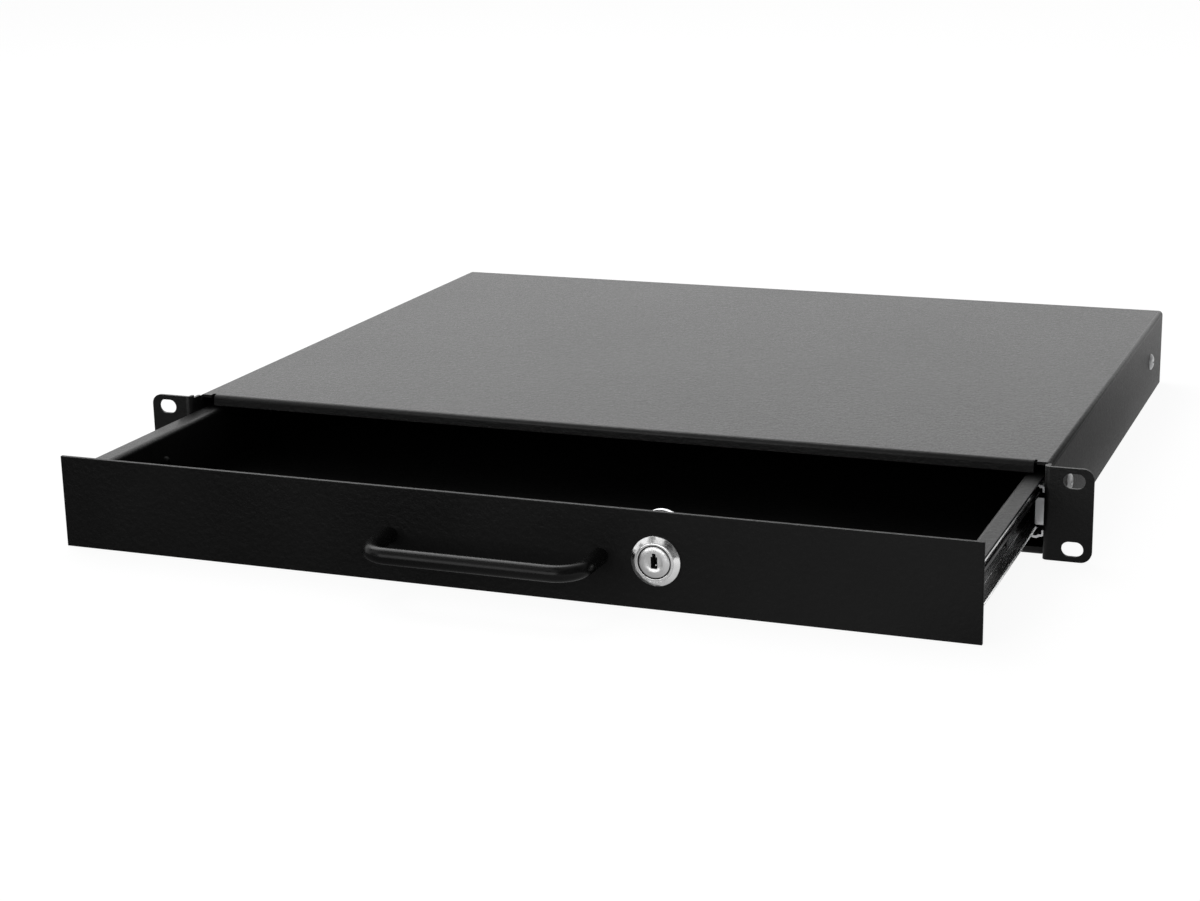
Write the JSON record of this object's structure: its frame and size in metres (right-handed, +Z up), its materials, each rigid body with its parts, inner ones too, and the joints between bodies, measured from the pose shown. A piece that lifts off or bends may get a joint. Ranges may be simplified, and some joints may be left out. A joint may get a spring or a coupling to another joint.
{
  "type": "sliding rack drawer",
  "caption": "Low flat steel housing with slotted rack ears and a shallow tray on ball bearing slides, closed by a front panel with a bow handle and a cam lock.",
  "frame": {"origin": "centre of the slots in the two rack ears, on the ears' front plane", "axes": "+X to the right seen from the front, +Y from the ears into the rack, +Z up"},
  "size_m": [0.4826, 0.5005, 0.0441],
  "materials": {
    "powder_coat": "black powder coat, fine texture",
    "handle_coat": "black, satin gloss",
    "zinc_plate": "bright zinc plate",
    "dark_zinc": "dark zinc plate, smooth",
    "cage_strip": "plain steel strip",
    "ball_steel": "polished steel",
    "rubber": "moulded rubber",
    "lock_chrome": "polished chrome plate"
  },
  "bodies": {
    "housing": {"housing_shell": "powder_coat", "bottom_pan": "powder_coat", "rear_panel": "powder_coat", "lock_strike": "powder_coat", "slide_outer_left": "zinc_plate", "slide_outer_right": "zinc_plate", "slide_bumper_left": "rubber", "slide_bumper_right": "rubber", "wall_screws_left": "zinc_plate", "wall_screws_right": "zinc_plate"},
    "drawer": {"drawer_tray": "powder_coat", "front_panel": "powder_coat", "panel_studs": "zinc_plate", "panel_nuts": "zinc_plate", "bow_handle": "handle_coat", "handle_screws": "zinc_plate", "slide_inner_left": "dark_zinc", "slide_inner_right": "dark_zinc", "tray_screws_left": "dark_zinc", "tray_screws_right": "dark_zinc", "lock_barrel": "lock_chrome", "lock_washer": "zinc_plate", "lock_nut": "zinc_plate"},
    "cage_left": {"ball_cage_left": "cage_strip", "balls_left": "ball_steel"},
    "cage_right": {"ball_cage_right": "cage_strip", "balls_right": "ball_steel"},
    "lock_rotor": {"lock_plug": "lock_chrome", "lock_cam": "zinc_plate", "lock_cam_washer": "zinc_plate", "lock_cam_screw": "zinc_plate"}
  },
  "joints": [
    {"name": "drawer_slide", "type": "slide", "parent": "housing", "child": "drawer", "axis": [0, -1, 0], "range_m": [-0.1185, 0.1215]},
    {"name": "cage_left_slide", "type": "slide", "parent": "housing", "child": "cage_left", "axis": [0, -1, 0], "range_m": [-0.05925, 0.06075]},
    {"name": "cage_right_slide", "type": "slide", "parent": "housing", "child": "cage_right", "axis": [0, -1, 0], "range_m": [-0.05925, 0.06075]},
    {"name": "lock_turn", "type": "hinge", "parent": "drawer", "child": "lock_rotor", "pos_m": [0.0776, -0.1185, 0.0004], "axis": [0, 1, 0], "range_deg": [0, 90]}
  ],
  "couplings": [
    {"joint": "cage_left_slide", "follows": "drawer_slide", "ratio": 0.5},
    {"joint": "cage_right_slide", "follows": "drawer_slide", "ratio": 0.5}
  ]
}
